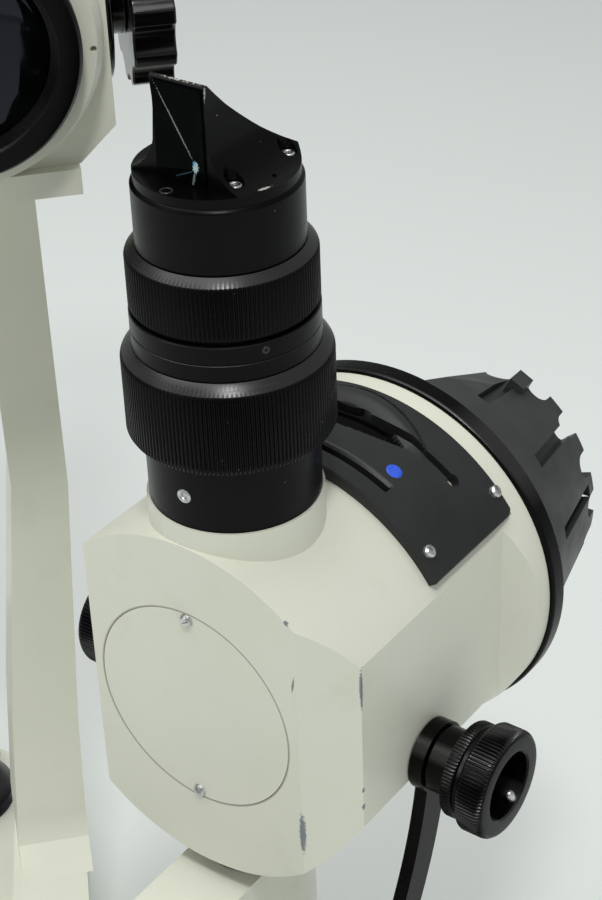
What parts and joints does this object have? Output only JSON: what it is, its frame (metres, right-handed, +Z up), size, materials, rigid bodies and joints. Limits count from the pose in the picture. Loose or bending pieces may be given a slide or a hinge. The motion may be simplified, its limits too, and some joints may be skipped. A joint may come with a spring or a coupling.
{
  "type": "slit lamp biomicroscope",
  "caption": "Table-top slit lamp: lamp housing with a ringed light tower and prism head, binocular microscope on a swing arm, and a joystick base.",
  "frame": {"origin": "on the table, at the lower end of the common swing axis, on the centre glide foot's lower face", "axes": "+Z up, +Y from the patient towards the operator, +X to the right seen from the patient's side"},
  "size_m": [0.3006, 0.44, 0.4745],
  "materials": {
    "cream_paint": "satin stove enamel",
    "black_anodised": "satin black anodised",
    "panel_grey": "satin dark grey",
    "steel": "fine turned",
    "screw_zinc": "bright zinc",
    "black_plastic": "moulded, fine texture",
    "rubber": "matt",
    "lens_glass": "coated",
    "mirror": "front silvered",
    "blue_mark": "enamel dot",
    "glide_pad": "glide plastic"
  },
  "bodies": {
    "base": {"base_casting": "cream_paint", "base_plate": "panel_grey", "glide_feet": "glide_pad", "column_guide": "black_anodised"},
    "axle": {"cross_axle": "steel", "rail_wheels": "steel"},
    "gimbal": {"gimbal_ring": "steel"},
    "joystick": {"joystick_shaft": "black_anodised", "joystick_grip": "black_plastic"},
    "height_ring": {"height_ring": "black_plastic"},
    "base_lock": {"base_lock_knob": "black_plastic"},
    "lift": {"lift_column": "steel", "column_cap": "black_anodised"},
    "scope_arm": {"scope_arm": "cream_paint", "scope_column": "cream_paint", "scope_body": "cream_paint", "front_disc": "cream_paint", "objective_ring": "black_anodised", "objective_lens": "lens_glass", "binocular_base": "cream_paint"},
    "scope_clamp": {"scope_clamp_knob": "black_plastic"},
    "drum": {"mag_drum": "steel", "mag_knobs": "black_plastic"},
    "eyepiece_left": {"prism_box_left": "cream_paint", "eyepiece_tube_left": "black_anodised", "ocular_lens_left": "lens_glass"},
    "eyepiece_right": {"prism_box_right": "cream_paint", "eyepiece_tube_right": "black_anodised", "ocular_lens_right": "lens_glass"},
    "diopter_left": {"diopter_ring_left": "panel_grey", "eyecup_left": "rubber"},
    "diopter_right": {"diopter_ring_right": "panel_grey", "eyecup_right": "rubber"},
    "illum_arm": {"illum_arm": "cream_paint"},
    "illum_clamp": {"illum_clamp_knob": "black_plastic"},
    "lamp_head": {"neck_spindle": "black_anodised", "lamp_housing": "cream_paint", "front_cover_plate": "cream_paint", "housing_screws": "screw_zinc", "filter_panel": "panel_grey", "filter_mark": "blue_mark", "rear_flange": "black_anodised", "bulb_socket": "steel", "lamp_bulb": "lens_glass", "fold_mirror": "mirror", "tower_collar": "black_anodised", "tower_screws": "screw_zinc", "tower_tube": "black_anodised", "index_ring": "black_anodised", "projection_lens": "lens_glass", "prism_mount": "black_anodised", "prism": "lens_glass", "slit_blades": "steel"},
    "slit_shaft": {"slit_shaft": "black_anodised"},
    "brake_lever": {"brake_lever": "black_anodised"},
    "lower_ring": {"lower_ring": "black_anodised"},
    "upper_ring": {"upper_ring": "black_anodised"},
    "filter_front": {"filter_lever_front": "black_anodised"},
    "filter_rear": {"filter_lever_rear": "black_anodised"},
    "lamp_cap": {"lamp_cap": "black_plastic"}
  },
  "joints": [
    {"name": "column_lift", "type": "slide", "parent": "base", "child": "lift", "axis": [0, 0, 1], "range_m": [-0.015, 0.015]},
    {"name": "wheel_roll", "type": "hinge", "parent": "base", "child": "axle", "pos_m": [0, 0.06, 0.016], "axis": [1, 0, 0], "continuous": true},
    {"name": "stick_tilt_y", "type": "hinge", "parent": "base", "child": "gimbal", "pos_m": [-0.034, 0.262, 0.046], "axis": [1, 0, 0], "range_deg": [-10, 10]},
    {"name": "stick_tilt_x", "type": "hinge", "parent": "gimbal", "child": "joystick", "pos_m": [-0.034, 0.262, 0.046], "axis": [0, 1, 0], "range_deg": [-10, 10]},
    {"name": "height_twist", "type": "hinge", "parent": "joystick", "child": "height_ring", "pos_m": [-0.034, 0.262, 0.08], "axis": [0, 0, 1], "range_deg": [-545, 545]},
    {"name": "base_lock_turn", "type": "hinge", "parent": "base", "child": "base_lock", "pos_m": [0.118, -0.03, 0.03], "axis": [1, 0, 0], "range_deg": [-180, 180]},
    {"name": "scope_swing", "type": "hinge", "parent": "lift", "child": "scope_arm", "pos_m": [0, 0, 0.12], "axis": [0, 0, 1], "range_deg": [-90, 90]},
    {"name": "illum_swing", "type": "hinge", "parent": "lift", "child": "illum_arm", "pos_m": [0, 0, 0.19], "axis": [0, 0, 1], "range_deg": [-42.7, 137.3]},
    {"name": "scope_clamp_turn", "type": "hinge", "parent": "scope_arm", "child": "scope_clamp", "pos_m": [-0.04, 0, 0.13], "axis": [1, 0, 0], "range_deg": [-180, 180]},
    {"name": "illum_clamp_turn", "type": "hinge", "parent": "illum_arm", "child": "illum_clamp", "pos_m": [-0.02713, 0.0294, 0.19], "axis": [0.6782, -0.7349, 0], "range_deg": [-180, 180]},
    {"name": "drum_turn", "type": "hinge", "parent": "scope_arm", "child": "drum", "pos_m": [0, 0.165, 0.43], "axis": [1, 0, 0], "continuous": true},
    {"name": "pd_left", "type": "hinge", "parent": "scope_arm", "child": "eyepiece_left", "pos_m": [-0.014, 0.26, 0.434], "axis": [0, 1, 0], "range_deg": [-6, 6]},
    {"name": "pd_right", "type": "hinge", "parent": "scope_arm", "child": "eyepiece_right", "pos_m": [0.014, 0.26, 0.434], "axis": [0, 1, 0], "range_deg": [-6, 6]},
    {"name": "diopter_left_turn", "type": "hinge", "parent": "eyepiece_left", "child": "diopter_left", "pos_m": [-0.032, 0.33, 0.446], "axis": [0, 1, 0], "range_deg": [-120, 120]},
    {"name": "diopter_right_turn", "type": "hinge", "parent": "eyepiece_right", "child": "diopter_right", "pos_m": [0.032, 0.33, 0.446], "axis": [0, 1, 0], "range_deg": [-120, 120]},
    {"name": "decentre", "type": "hinge", "parent": "illum_arm", "child": "lamp_head", "pos_m": [0.05879, 0.05425, 0.206], "axis": [0, 0, 1], "range_deg": [-8, 8]},
    {"name": "slit_width", "type": "hinge", "parent": "lamp_head", "child": "slit_shaft", "pos_m": [0.07312, 0.06748, 0.2455], "axis": [0.6782, -0.7349, 0], "range_deg": [-10, 260]},
    {"name": "brake", "type": "hinge", "parent": "lamp_head", "child": "brake_lever", "pos_m": [0.10703, 0.03073, 0.2455], "axis": [0.6782, -0.7349, 0], "range_deg": [-12, 12]},
    {"name": "slit_turn", "type": "hinge", "parent": "lamp_head", "child": "lower_ring", "pos_m": [0.05879, 0.05425, 0.362], "axis": [0, 0, 1], "range_deg": [-90, 90]},
    {"name": "slit_length", "type": "hinge", "parent": "lamp_head", "child": "upper_ring", "pos_m": [0.05879, 0.05425, 0.394], "axis": [0, 0, 1], "range_deg": [-150, 150]},
    {"name": "filter_front_turn", "type": "hinge", "parent": "lamp_head", "child": "filter_front", "pos_m": [0.08172, 0.07541, 0.269], "axis": [0.7349, 0.6782, 0], "range_deg": [-9, 42]},
    {"name": "filter_rear_turn", "type": "hinge", "parent": "lamp_head", "child": "filter_rear", "pos_m": [0.09627, 0.08884, 0.269], "axis": [0.7349, 0.6782, 0], "range_deg": [-18, 52]},
    {"name": "cap_twist", "type": "hinge", "parent": "lamp_head", "child": "lamp_cap", "pos_m": [0.12494, 0.11529, 0.269], "axis": [0.7349, 0.6782, 0], "range_deg": [0, 25]}
  ],
  "couplings": [
    {"joint": "pd_left", "follows": "pd_right", "ratio": -1},
    {"joint": "height_twist", "follows": "column_lift", "rad_per_m": 628.32}
  ]
}
